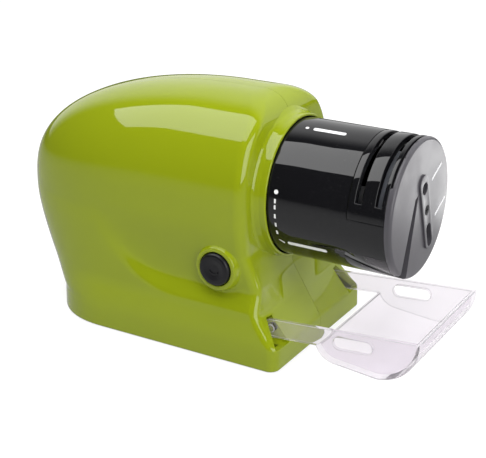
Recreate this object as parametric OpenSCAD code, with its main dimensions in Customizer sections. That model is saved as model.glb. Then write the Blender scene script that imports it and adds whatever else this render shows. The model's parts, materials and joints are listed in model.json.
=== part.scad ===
// Battery sharpener for scissors, knives and screwdriver tips.
// Millimetres, +Z up, +X towards the sharpening head, the push button on the -Y side.
// The origin lies on the floor, under the middle of the overall length.
// Inside the modules X is counted from the collar plane, where the head leaves the body.

/* [Body] */
// Collar plane to the furthest point of the rear bulge
body_len = 134; // [128:1:142]
// Half width of the plinth
base_half_w = 40.5; // [39.5:0.5:43]
// Height of the crest above the head axis
crest_z = 39.7; // [38.9:0.2:44.5]
// Half width of the body at the height of the head axis
shoulder_half_w = 38.5; // [38:0.5:40]
// Half width at the ridge above the flared skirt
skirt_half_w = 37.4; // [37:0.2:38.4]
// Wall of the housing halves
wall = 2.4; // [1.8:0.1:2.6]
// Height of the upright plinth
plinth_h = 10.5; // [9.5:0.25:11.5]
// Plinth front ahead of the collar plane
plinth_front = 10.8; // [9.6:0.2:12]
// Height of the ridge above the flared skirt
ridge_z = 22; // [21:0.25:24]
// Depth of the scooped sides above the ridge
scoop_depth = 3.2; // [1:0.2:3.6]
// Height of the rear bulge
bulge_z = 54; // [50:1:58]

/* [Head] */
// Radius of the head drum
head_r = 29; // [28:0.25:29.5]
// Collar plane to the end face
head_reach = 54.2; // [53:0.2:58]
// Height of the head axis
axis_z = 68.5; // [67:0.5:70]
// Wall of the drum
drum_wall = 2.4; // [2:0.1:2.8]
// Thickness of the end cap
cap_t = 2.8; // [2.6:0.1:3.2]
// Length of the knife guide along the head
guide_len = 16.2; // [15.2:0.2:17]
// Width of the knife slots, and of the scissors slot in the drum
slot_w = 2.8; // [2:0.1:3]
// Distance between the two knife slots
slot_pitch = 8.6; // [8:0.1:9]
// Angle from the top down to each end of the knife guide
guide_angle = 87.5; // [80:0.5:90]

/* [Driver plate] */
// Width of the bar on the end face
plate_w = 7.6; // [7:0.2:11]
// Thickness of the bar
plate_t = 0.8; // [0.8:0.1:1.6]
// Diameter of the round hole for small screwdrivers
round_hole_d = 5.2; // [4:0.2:6.6]
// Width of the long hole for wide screwdrivers
long_hole_w = 4.6; // [3:0.2:6]
// Length of the long hole
long_hole_len = 11; // [8:0.5:12]

/* [Drive] */
// Diameter of the motor
motor_d = 27.7; // [24:0.1:28.5]
// Length of the motor can
motor_len = 38; // [32:1:42]
// Diameter of the motor shaft
shaft_d = 3.2; // [2:0.1:4]
// Radius of the grinding wheel
wheel_r = 21; // [18:0.5:22]
// Thickness of the grinding wheel at its hub
wheel_t = 8.6; // [7.6:0.2:9]
// Thickness of the grinding wheel at its rim
rim_t = 4.6; // [3:0.2:5.4]
// Diameter of the arbor
arbor_d = 9; // [8:0.5:12]

/* [Tray] */
// Half width over the tray's side walls
tray_half_w = 30.4; // [29.4:0.2:31]
// Thickness of the clear plastic
tray_wall = 1.8; // [1.4:0.1:2.2]
// Pivot to the front of the scoop
tray_reach = 66.6; // [64:0.2:72]
// Depth of the scoop below the pivot
tray_drop = 14; // [13:0.25:14.5]
// Height of the two arms
arm_h = 8; // [7:0.25:8.5]
// Tilt of the tray as it rests
tray_tilt = 4.2; // [2:0.2:6]
// Pivot ahead of the collar plane
pivot_x = 3.2; // [1:0.1:3.4]
// Height of the pivot
pivot_z = 15.5; // [15:0.1:16]
// Radius of the pivot pins
pin_r = 1.8; // [1.6:0.1:2.2]
// Length of the slot in each side wall
tray_slot_len = 17.5; // [12:0.5:22]
// Height of the slot in each side wall
tray_slot_h = 5.3; // [4.6:0.1:5.6]

/* [Button] */
// Diameter of the push button
button_d = 14.2; // [13:0.2:15]
// Button behind the collar plane
button_back = 18.6; // [18.6:0.2:24]
// Button axis below the head axis
button_z = 28.1; // [27.5:0.2:30.1]
// How far the button stands out of its boss
button_proud = 1.4; // [0.6:0.2:1.6]
// Travel of the button
button_travel = 2; // [1:0.1:2.4]

/* [Power] */
// Diameter of a cell
cell_d = 14.5; // [13.5:0.1:14.6]
// Length of a cell
cell_len = 50.5; // [46:0.5:52]
// Distance between cells
cell_pitch = 14.8; // [14.7:0.1:15]
// Length of a fitted contact spring
contact_len = 5.4; // [4:0.2:7]
// Radius of a rubber foot
foot_r = 5.5; // [4:0.25:6]

/* [Fits] */
// Gap between parts that turn or slide on one another
run_gap = 0.3; // [0.2:0.05:0.4]
// Radial clearance of a pin or shaft in its bore
pin_gap = 0.06; // [0.04:0.01:0.1]
// Clearance of a part that sits in a seat
seat_gap = 0.15; // [0.1:0.05:0.2]

/* [Hidden] */
$fn = 64;

green = "yellowgreen";
black = "#18181c";

// Small helpers
function mix(a, b, t) = a + (b - a) * t;
function unit_range(t) = min(1, max(0, t));
function ease(t) = let (c = unit_range(t)) c * c * (3 - 2 * c);
function dir(v) = v / norm(v);
function arc(cx, cy, r, a0, a1, n) =
  [for (i = [0:n]) let (a = mix(a0, a1, i / n)) [cx + r * cos(a), cy + r * sin(a)]];

// Tray outline in its own frame, with the pivot at the origin
tray_top = arm_h / 2;
tray_nose_r = 19;
tray_nose_z = tray_top + 1;
tray_nose_x = tray_reach - tray_nose_r;
tray_lip_r = 10;
tray_lip_x = 30.2;
tray_lip_z = tray_lip_r + 3 - tray_drop;
tray_floor_turn = -98;
lip_drop = (-arm_h / 2 - tray_lip_z) / tray_lip_r;
lip_turn = -180 - asin(lip_drop);
nose_turn = -asin((tray_nose_z - tray_top) / tray_nose_r);
nose_front = tray_nose_x + tray_nose_r * cos(nose_turn);
tray_slot_x = 37.2;
tray_slot_z = tray_top - 2.8 - tray_slot_h / 2;
tray_end = pivot_x + nose_front * cos(tray_tilt) - tray_top * sin(tray_tilt);
collar_x = (body_len - tray_end) / 2;

// Body outline
foot_lift = 0.4;
floor_t = 3;
floor_top = foot_lift + floor_t;
plinth_draft = 0.5;
crest_flat = 2.5;
rear_tuck = 19.5;
rear_power = 2.25;
crest_power = 2.32;
tuck_power = 1.6;
plinth_rear_share = 0.31;
body_rear_share = 0.62;
front_x = -5.6;
front_low_z = 47;
ramp_top_x = -3;
ramp_top_z = 32.6;
cheek_low_z = plinth_h + 2.5;
cheek_low_x = plinth_front - 2.8;
cheek_ridge_x = 0.4;
cheek_top_x = -0.6;
front_round_z = axis_z + head_r - 0.5;
front_round_x = 12.4;
corner_full_z = 45;
corner_r = 5;
plinth_corner_r = 4.5;
ridge_corner_r = 4;
ramp_corner_r = 4.6;
ridge_bend_x = -38;
ridge_bend_len = 42;
ridge_rise = 24;
scoop_end_x = -86;
scoop_fade = 46;
scoop_lip = 10;
scoop_top = 60;
inner_slope = 1.2;
crest_top = axis_z + crest_z;
crest_back = front_round_x - front_x + wall * inner_slope + 2 * crest_flat;

function front_mid(z) = z <= front_round_z
  ? lookup(z, [[plinth_h, plinth_front], [ramp_top_z, ramp_top_x], [front_low_z, front_x]])
  : front_x - front_round_x
    + front_round_x * sqrt(max(0, 1 - pow((z - front_round_z) / (crest_top - front_round_z), 2)));
function front_cheek(z) = z <= front_round_z
  ? lookup(z, [[plinth_h, plinth_front], [cheek_low_z, cheek_low_x], [ridge_z, cheek_ridge_x],
    [ramp_top_z, cheek_top_x], [front_low_z, front_x]])
  : front_mid(z);
function half_w(z, inset) = z >= axis_z
  ? crest_flat + (shoulder_half_w - inset - crest_flat)
    * sqrt(max(0, 1 - pow((z - axis_z) / (crest_z - inset), 2)))
  : lookup(z, [[foot_lift, base_half_w], [plinth_h, base_half_w - plinth_draft],
    [ridge_z, skirt_half_w], [axis_z, shoulder_half_w]]) - inset;
function corner(z, inset) = min(0.75 * half_w(z, inset),
  lookup(z, [[plinth_h, plinth_corner_r], [ridge_z, ridge_corner_r],
    [ramp_top_z, ramp_corner_r], [corner_full_z, corner_r]]));
function rear_x(z, inset) = z >= bulge_z
  ? -crest_back - (body_len - inset - crest_back)
    * pow(max(0, 1 - pow((z - bulge_z) / (crest_top - inset - bulge_z), crest_power)), 1 / crest_power)
  : inset - body_len
    + rear_tuck * pow(unit_range((bulge_z - z) / (bulge_z - plinth_h)), tuck_power);
function rear_share(z) = lookup(z, [[plinth_h, plinth_rear_share], [bulge_z, body_rear_share]]);
function ridge_at(x) = ridge_z + ridge_rise * pow(unit_range((ridge_bend_x - x) / ridge_bend_len), 2.5);
function scoop(x, z) = let (up = z - ridge_at(x), fade = ease((x - scoop_end_x) / scoop_fade))
  up <= 0 ? 0 : scoop_depth * fade * (up < scoop_lip
    ? ease(up / scoop_lip)
    : 1 - ease((up - scoop_lip) / (scoop_top - ridge_at(x) - scoop_lip)));

// Half width of the outside at one place
function side_half(x, z) =
  let (w = half_w(z, 0), start = front_cheek(z) - corner(z, 0), rear = rear_x(z, 0))
  let (run = (start - rear) * rear_share(z), bend = rear + run)
  (x >= bend ? w : w * pow(1 - pow((bend - x) / run, rear_power), 1 / rear_power)) - scoop(x, z);

// Plan outline of the -Y half at one height: nose, corner, side and rounded rear
corner_steps = 4;
side_steps = 6;
rear_steps = 9;
function plan(z, inset) =
  let (back = min(front_x, front_mid(min(crest_top, z + inset))) - inset * inner_slope)
  let (nose = inset > 0 ? back : front_mid(z))
  let (cheek = inset > 0 ? nose : front_cheek(z))
  let (w = half_w(z, inset), r = corner(z, inset), rear = rear_x(z, inset), start = cheek - r)
  let (run = (start - rear) * rear_share(z), bend = rear + run)
  let (raw = concat(
    [[nose, 0], [(nose + cheek) / 2, -(w - r) / 2]],
    [for (i = [0:corner_steps]) let (a = 90 * i / corner_steps)
      [start + r * cos(a), -(w - r) - r * sin(a)]],
    [for (i = [1:side_steps]) [mix(start, bend, i / side_steps), -w]],
    [for (i = [1:rear_steps]) let (a = 90 * i / rear_steps)
      [bend - run * pow(sin(a), 2 / rear_power), -w * pow(max(0, cos(a)), 2 / rear_power)]]))
  [for (p = raw) [p[0], p[1] + scoop(p[0], z) * pow(-p[1] / w, 4), z]];

crest_steps = 9;
function crest_levels(inset) =
  [for (i = [0:crest_steps]) axis_z + (crest_z - inset) * sin(90 * i / crest_steps)];
waist_levels = [ridge_z, ridge_z + 0.25 * scoop_lip, ridge_z + 0.5 * scoop_lip, ridge_z + 0.75 * scoop_lip,
  ramp_top_z, mix(ramp_top_z, front_low_z, 0.5), front_low_z, bulge_z, mix(bulge_z, axis_z, 0.5)];
cheek_mid_z = mix(cheek_low_z, ridge_z, 0.5);
outer_levels = concat([foot_lift, plinth_h, cheek_low_z, cheek_mid_z], waist_levels, crest_levels(0));
inner_levels = concat([floor_top, plinth_h, cheek_mid_z], waist_levels, crest_levels(wall));

// Skin over a stack of outlines that have the same number of points
module stack(rings) {
  n = len(rings[0]);
  top = len(rings) - 1;
  walls = [for (j = [0:top - 1], i = [0:n - 1]) let (k = (i + 1) % n, a = j * n, b = a + n)
    each [[a + i, a + k, b + k], [a + i, b + k, b + i]]];
  below = [for (i = [0:n - 3]) [n - 1, i + 1, i]];
  above = [for (i = [0:n - 3]) [n - 1, i, i + 1] + top * n * [1, 1, 1]];
  polyhedron([for (r = rings) each r], concat(walls, below, above));
}

module outer_half() stack([for (z = outer_levels) plan(z, 0)]);

// The hollow runs past the middle plane, so that each half is open there
past_middle = 1;
function open_middle(ring) = let (last = len(ring) - 1)
  [for (i = [0:last]) (i == 0 || i == last) ? ring[i] + [0, past_middle, 0] : ring[i]];
module inner_half() stack([for (z = inner_levels) open_middle(plan(z, wall))]);

// Round tube along a list of points
module tube(path, r, sides, up) {
  last = len(path) - 1;
  rings = [for (i = [0:last])
    let (t = dir(path[min(last, i + 1)] - path[max(0, i - 1)]))
    let (n = dir(cross(t, up)), b = cross(t, n))
    [for (k = [0:sides - 1]) path[i] + r * (cos(360 * k / sides) * n + sin(360 * k / sides) * b)]];
  walls = [for (i = [0:last - 1], k = [0:sides - 1])
    let (m = (k + 1) % sides, a = i * sides, c = a + sides)
    each [[a + k, c + k, c + m], [a + k, c + m, a + m]]];
  polyhedron([for (ring = rings) each ring],
    concat(walls, [[for (k = [0:sides - 1]) k]], [[for (k = [sides - 1:-1:0]) last * sides + k]]));
}

// Coil spring along +Z from z = 0, with its end turns closed up
module coil(r, wire, length, turns, steps, sides) {
  count = turns * steps;
  path = [for (i = [0:count]) let (t = i / count, a = 360 * turns * t)
    [r * cos(a), r * sin(a), wire + (length - 2 * wire) * ease(t * 1.1 - 0.05)]];
  tube(path, wire, sides, [0, 0, 1]);
}

// Places: from the collar plane, along the head axis with the axis as +Z, and along a screw or button
module from_collar() translate([collar_x, 0, 0]) children();
module on_axis(x) translate([collar_x + x, 0, axis_z]) rotate([0, 90, 0]) children();
module sideways(x, z) translate([collar_x + x, 0, z]) rotate([90, 0, 0]) children();
// A point of the end face, y to the right as the face is seen and z up from the axis
module on_face(x, y, z) translate([collar_x + x, y, axis_z + z]) rotate([0, 90, 0]) children();

// Collar, head and motor seat along the head axis
collar_bore_r = head_r + run_gap;
collar_lip = 2.7;
lip_edge = 1.2;
lip_root = 1.6;
lip_flare = 1.2;
collar_lip_r = collar_bore_r + collar_lip;
lip_round = 0.5;
flange_t = 2.2;
flange_out = 1.6;
flange_front = -5.8;
flange_back = flange_front - flange_t;
flange_r = head_r + flange_out;
collar_wall = 2;
seat_t = 2.4;
seat_front = flange_back - run_gap - collar_wall;
seat_back = seat_front - seat_t;
seat_r = head_r + 4;
seat_lip = 6;
collar_back = seat_back - collar_wall;
collar_block_r = seat_r + 1.6;
drum_end = head_reach - cap_t;
drum_in_r = head_r - drum_wall;

module collar_half() on_axis(0) rotate([0, 0, 180]) rotate_extrude(angle = 180) polygon([
  [collar_bore_r, 0], [collar_bore_r + lip_edge - lip_round, 0], [collar_bore_r + lip_edge, -lip_round],
  [collar_bore_r + lip_root, front_x + lip_flare], [collar_lip_r, front_x],
  [collar_lip_r, flange_back - run_gap], [collar_block_r, flange_back - run_gap],
  [collar_block_r, collar_back], [seat_r - seat_lip, collar_back],
  [seat_r - seat_lip, seat_back - seat_gap],
  [seat_r + seat_gap, seat_back - seat_gap], [seat_r + seat_gap, seat_front + seat_gap],
  [seat_r - seat_lip, seat_front + seat_gap], [seat_r - seat_lip, flange_back - run_gap],
  [flange_r + run_gap, flange_back - run_gap], [flange_r + run_gap, flange_front + run_gap],
  [collar_bore_r, flange_front + run_gap]]);

// Housing screws: places as distance behind the collar and height
screw_spots = [[body_len - 28, axis_z - 10.5], [body_len - 60, axis_z + 13.5], [body_len - 38, 28],
  [9, 27], [44, axis_z + 21.5]];
screw_r = 1.5;
screw_head_r = 3;
screw_head_t = 2.2;
screw_seat = 5;
screw_grip = 12;
post_r = 4;
tube_post_r = 4.8;
pilot_r = screw_r + seat_gap;
well_r = screw_head_r + 0.4;
well_len = 60;

function post_len(x, z, r) = min([for (dx = [-r, r], dz = [-r, r]) side_half(x + dx, z + dz)]) - wall / 3;
module post(x, z, r) sideways(x, z) cylinder(r = r, h = post_len(x, z, r));

// Battery bay in the base
bay_back = -81;
plate_metal = 0.4;
bay_len = cell_len + contact_len + 2 * plate_metal;
bay_front = bay_back + bay_len;
bay_half_w = 2 * cell_pitch + 0.4;
door_t = 2;
door_margin = 1.6;
door_z = foot_lift + door_t;
cell_z = door_z + 0.4 + cell_d / 2;
holder_wall = 1.5;
holder_top = cell_z + cell_d / 2 + 0.4;
foot_spots = [[-2, 26], [-94, 22]];
foot_sink = 1.2;
toe_back = -8;
toe_wall = 2.4;
toe_half_w = 20;
toe_top = plinth_h + 1;

// Tray arms in the nose
arm_gap = run_gap + 0.1;
arm_cut_r = arm_h / 2 + 1;
arm_low = pivot_z - arm_cut_r - 0.4;
arm_high = ramp_top_z;
pin_len = 3;
pin_bore_len = pin_len + 0.3;
cheek_start = -0.6 * arm_cut_r;
cheek_bevel = 0.77;

// A slot for the arm, a bore for its pin, and the cheek cut back so that the arm's end is free outside
module arm_cut() translate([pivot_x, -tray_half_w - arm_gap, 0]) {
  cut_w = tray_wall + 2 * arm_gap;
  translate([0, 0, arm_low]) cube([plinth_front, cut_w, arm_high - arm_low]);
  translate([0, 0, pivot_z]) rotate([-90, 0, 0]) cylinder(r = arm_cut_r, h = cut_w);
  translate([0, cut_w - arm_gap, pivot_z]) rotate([-90, 0, 0])
    cylinder(r = pin_r + pin_gap, h = pin_bore_len);
  translate([0, 0, arm_low]) linear_extrude(pivot_z + arm_cut_r - arm_low)
    polygon([[cheek_start, arm_gap], [plinth_front, arm_gap],
      [plinth_front, (cheek_start - plinth_front) * cheek_bevel]]);
}

// One half of the housing on the -Y side, before what only one half has
module shell_half() {
  difference() {
    from_collar() outer_half();
    from_collar() inner_half();
    on_axis(-drum_end) cylinder(r = head_r + flange_out, h = 2 * drum_end);
    on_axis(seat_back - seat_gap) cylinder(r = seat_r + seat_gap, h = seat_t + 2 * seat_gap);
    from_collar() {
      bay_cut(0, floor_top);
      bay_cut(door_margin, door_z + 0.1);
      translate([toe_back, -toe_half_w, floor_top])
        cube([plinth_front - toe_wall - toe_back, toe_half_w + past_middle, toe_top - floor_top]);
      for (spot = foot_spots) translate([spot[0], -spot[1], 0])
        cylinder(r = foot_r + seat_gap, h = foot_lift + foot_sink);
      arm_cut();
    }
  }
  collar_half();
}

module bay_cut(margin, top) translate([bay_back - margin, -bay_half_w - margin, -past_middle])
  cube([bay_len + 2 * margin, bay_half_w + margin + past_middle, top + 2 * past_middle
    - (margin > 0 ? past_middle : 0)]);

// Button, boss and switch along -Y
button_r = button_d / 2;
button_x = -button_back;
button_h = axis_z - button_z;
button_bore_r = button_r + run_gap;
boss_r = button_bore_r + 1.8;
boss_flare = 4;
boss_face = base_half_w - 1.8;
boss_root = side_half(button_x, button_h) - wall - 1.6;
button_face = boss_face + button_proud;
button_flange_r = button_r + 1.6;
button_flange_t = 1.4;
button_back_y = boss_root - 0.2 - button_flange_t;
flange_room_back = button_back_y - button_travel - run_gap;
stem_r = 2.4;
spring_room = 5.2;
switch_face = button_back_y - spring_room;
switch_len = 11;
switch_w = 7.2;
switch_h = 11;
switch_back = switch_face - switch_len;
stem_len = spring_room - 0.6;
button_spring_r = 4.2;
button_spring_wire = 0.35;
button_dome = 1.2;
bracket_t = 1.8;
bracket_span = 12;
bracket_half_w = 3.7;
bracket_end = 4;
bracket_post_r = 3.2;
bracket_screw_grip = 8;

module right_housing() color(green) difference() {
  union() {
    shell_half();
    for (s = screw_spots) post(-s[0], s[1], post_r);
    sideways(button_x, button_h) translate([0, 0, boss_root])
      cylinder(r1 = boss_r + boss_flare, r2 = boss_r, h = boss_face - boss_root);
    for (side = [-1, 1]) let (z = button_h + side * bracket_span) sideways(button_x, z)
      translate([0, 0, switch_back]) cylinder(r = bracket_post_r,
        h = post_len(button_x, z, bracket_post_r) - switch_back);
  }
  for (s = screw_spots) sideways(-s[0], s[1]) translate([0, 0, -past_middle])
    cylinder(r = pilot_r, h = screw_grip + 2 * past_middle);
  sideways(button_x, button_h) translate([0, 0, boss_root - past_middle])
    cylinder(r = button_bore_r, h = base_half_w);
  // Room behind the boss for the button's flange and its travel
  sideways(button_x, button_h) translate([0, 0, flange_room_back])
    cylinder(r = button_flange_r + run_gap, h = boss_root - flange_room_back);
  for (side = [-1, 1]) sideways(button_x, button_h + side * bracket_span)
    translate([0, 0, switch_back - past_middle])
      cylinder(r = pilot_r, h = bracket_screw_grip + 2 * past_middle);
}

module left_housing() color(green) mirror([0, 1, 0]) difference() {
  union() {
    shell_half();
    for (s = screw_spots) post(-s[0], s[1], tube_post_r);
  }
  for (s = screw_spots) sideways(-s[0], s[1]) {
    translate([0, 0, -past_middle]) cylinder(r = screw_r + run_gap, h = well_len);
    translate([0, 0, screw_seat]) cylinder(r = well_r, h = well_len);
  }
}

// Pan-head screw along +Z, with its seat at z = 0 and a cross recess
module screw(r, head_r, head_t, length) difference() {
  union() {
    translate([0, 0, -length]) cylinder(r = r, h = length);
    cylinder(r = head_r, h = head_t);
  }
  for (turn = [0, 90]) rotate([0, 0, turn]) translate([-head_r * 0.6, -head_r * 0.12, head_t / 2])
    cube([head_r * 1.2, head_r * 0.24, head_t]);
}

module housing_screws() color("silver") for (s = screw_spots)
  sideways(-s[0], s[1]) translate([0, 0, -screw_seat]) rotate([180, 0, 0])
    screw(screw_r, screw_head_r, screw_head_t, screw_seat + screw_grip);

module rubber_feet() color("dimgray") from_collar() for (spot = foot_spots, side = [-1, 1])
  translate([spot[0], side * spot[1], 0]) rotate_extrude() polygon([[0, 0], [foot_r - 0.6, 0],
    [foot_r, 0.6], [foot_r, foot_lift + foot_sink - 0.1], [0, foot_lift + foot_sink - 0.1]]);

// Battery door: a plate that fits up into the base, with a row of thumb ribs underneath
door_len = bay_len + 2 * (door_margin - run_gap);
door_half_w = bay_half_w + door_margin - run_gap;
thumb_ribs = 5;
rib_pitch = 2.4;
rib_h = foot_lift / 2;
rib_t = 1;
rib_len = bay_half_w / 2;
rib_start = bay_front - 4;
module battery_door() color(green) from_collar() {
  translate([bay_back - door_margin + run_gap, -door_half_w, foot_lift])
    cube([door_len, 2 * door_half_w, door_t]);
  for (i = [0:thumb_ribs - 1]) translate([rib_start - i * rib_pitch, -rib_len / 2, foot_lift - rib_h])
    cube([rib_t, rib_len, rib_h * 1.5]);
}

module battery_holder() color(black) from_collar() difference() {
  translate([bay_back - holder_wall, -bay_half_w - holder_wall, floor_top])
    cube([bay_len + 2 * holder_wall, 2 * (bay_half_w + holder_wall), holder_top + holder_wall - floor_top]);
  translate([bay_back, -bay_half_w, 0]) cube([bay_len, 2 * bay_half_w, holder_top]);
}

// Cells lie side by side and point forwards and backwards in turn
cell_rows = [for (i = [0:3]) [cell_pitch * (i - 1.5), i % 2]];
nub_r = 2.6;
nub_len = 1;
contact_w = cell_d * 0.62;
contact_r = cell_d * 0.28;
contact_wire = cell_d * 0.028;
spring_play = 0.05;
module cell_frame(row) translate([bay_back + bay_len / 2, row[0], cell_z])
  rotate([0, row[1] == 0 ? 90 : -90, 0]) translate([0, 0, -bay_len / 2]) children();
cell_start = plate_metal + contact_len;

module battery_cells() color("goldenrod") from_collar() for (row = cell_rows) cell_frame(row)
  translate([0, 0, cell_start]) {
    cylinder(d = cell_d, h = cell_len - nub_len);
    translate([0, 0, cell_len - nub_len]) cylinder(r = nub_r, h = nub_len);
  }

module contact_springs() color("silver") from_collar() for (row = cell_rows) cell_frame(row)
  translate([0, 0, plate_metal + spring_play])
    coil(contact_r, contact_wire, contact_len - 2 * spring_play, 3, 12, 6);

module contact_plates() color("silver") from_collar() for (row = cell_rows, end = [0, 1])
  cell_frame(row) translate([-contact_w / 2, -contact_w / 2, end * (bay_len - plate_metal)])
    cube([contact_w, contact_w, plate_metal]);

module push_button() color("#282640") sideways(button_x, button_h) {
  rotate_extrude() polygon(concat([[0, button_back_y], [button_flange_r, button_back_y],
    [button_flange_r, button_back_y + button_flange_t], [button_r, button_back_y + button_flange_t]],
    arc(button_r - button_dome, button_face - button_dome, button_dome, 0, 90, 6),
    [[button_r * 0.6, button_face], [button_r * 0.3, button_face - 0.4], [0, button_face - 0.5]]));
  translate([0, 0, button_back_y - stem_len]) cylinder(r = stem_r, h = stem_len);
}

module button_spring() color("silver") sideways(button_x, button_h)
  translate([0, 0, switch_face + spring_play])
    coil(button_spring_r, button_spring_wire, spring_room - 2 * spring_play, 4, 12, 6);

module switch_body() color(black) difference() {
  sideways(button_x, button_h) translate([-switch_w / 2, -switch_h / 2, switch_back])
    cube([switch_w, switch_h, switch_len]);
  sideways(button_x, button_h) translate([0, 0, switch_face - button_travel - 0.8])
    cylinder(r = stem_r + run_gap, h = button_travel + 2);
}

module switch_bracket() color("gray") difference() {
  sideways(button_x, button_h) translate([-bracket_half_w, -bracket_span - bracket_end,
    switch_back - bracket_t]) cube([2 * bracket_half_w, 2 * (bracket_span + bracket_end), bracket_t]);
  for (side = [-1, 1]) sideways(button_x, button_h + side * bracket_span)
    translate([0, 0, switch_back - 2 * bracket_t]) cylinder(r = screw_r + run_gap, h = 3 * bracket_t);
}

module bracket_screws() color("silver") for (side = [-1, 1])
  sideways(button_x, button_h + side * bracket_span) translate([0, 0, switch_back - bracket_t])
    rotate([180, 0, 0]) screw(screw_r, screw_head_r, screw_head_t, bracket_screw_grip);

// Motor: its front sits in the cup, whose flange is held between the halves
motor_r = motor_d / 2;
motor_front = 4;
motor_back = motor_front - motor_len;
bell_t = 4;
nose_r = 5;
nose_t = 2.2;
cup_wall = 2;
cup_front_t = 2.4;
cup_front = motor_front + cup_front_t;
motor_screw_r = 1.25;
motor_screw_x = 8;
motor_screw_head_r = 2.2;
motor_screw_head_t = 1.4;
motor_screw_grip = 2.4;
shaft_r = shaft_d / 2;
shaft_front = 18;

module motor_cup() color("gray") difference() {
  union() {
    on_axis(seat_back) cylinder(r = seat_r, h = seat_t);
    on_axis(seat_back) cylinder(r = motor_r + seat_gap + cup_wall, h = cup_front - seat_back);
  }
  on_axis(motor_back) cylinder(r = motor_r + seat_gap, h = motor_len);
  on_axis(motor_front - 1) cylinder(r = nose_r + seat_gap, h = cup_front_t + 2);
  for (side = [-1, 1]) on_axis(motor_front - 1) translate([0, side * motor_screw_x, 0])
    cylinder(r = motor_screw_r + seat_gap, h = cup_front_t + 2);
}

module motor_can() color("silver") difference() {
  union() {
    on_axis(motor_back) cylinder(r = motor_r, h = motor_len);
    on_axis(motor_front) cylinder(r = nose_r, h = nose_t);
  }
  on_axis(motor_back - 1) cylinder(r = shaft_r + pin_gap, h = motor_len + nose_t + 2);
  for (side = [-1, 1]) on_axis(motor_front - 3) translate([0, side * motor_screw_x, 0])
    cylinder(r = motor_screw_r + seat_gap / 2, h = 4);
}

module motor_end_bell() color(black) difference() {
  on_axis(motor_back - bell_t) cylinder(r = motor_r, h = bell_t);
  on_axis(motor_back - bell_t / 2) cylinder(r = shaft_r + pin_gap, h = bell_t);
}

terminal_x = 8;
terminal_t = 0.5;
terminal_len = 5;
terminal_h = 2.8;
module motor_terminals() color("gold") for (side = [-1, 1])
  translate([collar_x + motor_back - bell_t - terminal_len, side * terminal_x - terminal_t / 2,
    axis_z - terminal_h / 2]) cube([terminal_len, terminal_t, terminal_h]);

module motor_screws() color("silver") for (side = [-1, 1])
  on_axis(cup_front) translate([0, side * motor_screw_x, 0])
    screw(motor_screw_r, motor_screw_head_r, motor_screw_head_t, cup_front_t + motor_screw_grip);

// What the motor turns
slot_shift = 0.6;
wheel_x = drum_end - guide_len / 2 + slot_shift;
arbor_back = motor_front + nose_t + 1.2;
wheel_back = wheel_x - wheel_t / 2;
wheel_front = wheel_x + wheel_t / 2;
shoulder_t = 2.2;
shoulder_r = 8;
stub_r = 3;
washer_r = 6.4;
washer_t = 0.6;
nut_r = 4.4;
nut_t = 1.6;
press_gap = 0.02;

module motor_shaft() color("silver") on_axis(motor_back - bell_t / 4) cylinder(r = shaft_r,
  h = shaft_front - motor_back + bell_t / 4);

module wheel_arbor() color("white") difference() {
  union() {
    on_axis(arbor_back) cylinder(d = arbor_d, h = wheel_back - arbor_back);
    on_axis(wheel_back - shoulder_t) cylinder(r = shoulder_r, h = shoulder_t);
    on_axis(wheel_back) cylinder(r = stub_r, h = wheel_front + washer_t + nut_t - wheel_back);
  }
  on_axis(arbor_back - 1) cylinder(r = shaft_r + press_gap, h = shaft_front - arbor_back + 1.2);
}

module grinding_wheel() color("slategray") on_axis(wheel_x) rotate_extrude() polygon([
  [stub_r + press_gap, -wheel_t / 2], [shoulder_r + 1, -wheel_t / 2], [wheel_r, -rim_t / 2],
  [wheel_r, rim_t / 2], [shoulder_r + 1, wheel_t / 2], [stub_r + press_gap, wheel_t / 2]]);

module wheel_washer() color("silver") difference() {
  on_axis(wheel_front) cylinder(r = washer_r, h = washer_t);
  on_axis(wheel_front - 1) cylinder(r = stub_r + press_gap, h = washer_t + 2);
}

module wheel_nut() color("silver") difference() {
  on_axis(wheel_front + washer_t) cylinder(r = nut_r, h = nut_t, $fn = 6);
  on_axis(wheel_front) cylinder(r = stub_r + press_gap, h = washer_t + nut_t + 1);
}

// Scissors slot: a slab turned about the head, straight through the end cap and slanted through the drum
scissors_top = [-3.7, 4.7];
scissors_turn = 23;
scissors_slant = 30;
scissors_depth = 24;
scissors_len = 60;
scissors_mouth = slot_w + 0.8;
module scissors_cut(slant, width)
  translate([collar_x + head_reach, scissors_top[0], axis_z + scissors_top[1]])
    rotate([-scissors_turn, 0, 0]) rotate([0, 0, slant])
      translate([-scissors_depth, -width / 2, -scissors_len])
        cube([scissors_depth + 10, width, scissors_len]);

// Sector of a ring about the head axis, centred on the top
module top_ring(x, length, r_in, r_out, angle) on_axis(x) rotate([0, 0, 180 - angle])
  rotate_extrude(angle = 2 * angle) translate([r_in, 0]) square([r_out - r_in, length]);

module head_drum() color(black) difference() {
  union() {
    on_axis(flange_back) cylinder(r = head_r, h = drum_end - flange_back);
    on_axis(flange_back) cylinder(r = flange_r, h = flange_t);
  }
  on_axis(flange_back - 1) cylinder(r = drum_in_r, h = drum_end - flange_back + 2);
  top_ring(drum_end - guide_len, guide_len + 1, drum_in_r - 1, head_r + 1, guide_angle);
  scissors_cut(scissors_slant, slot_w);
}

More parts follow.
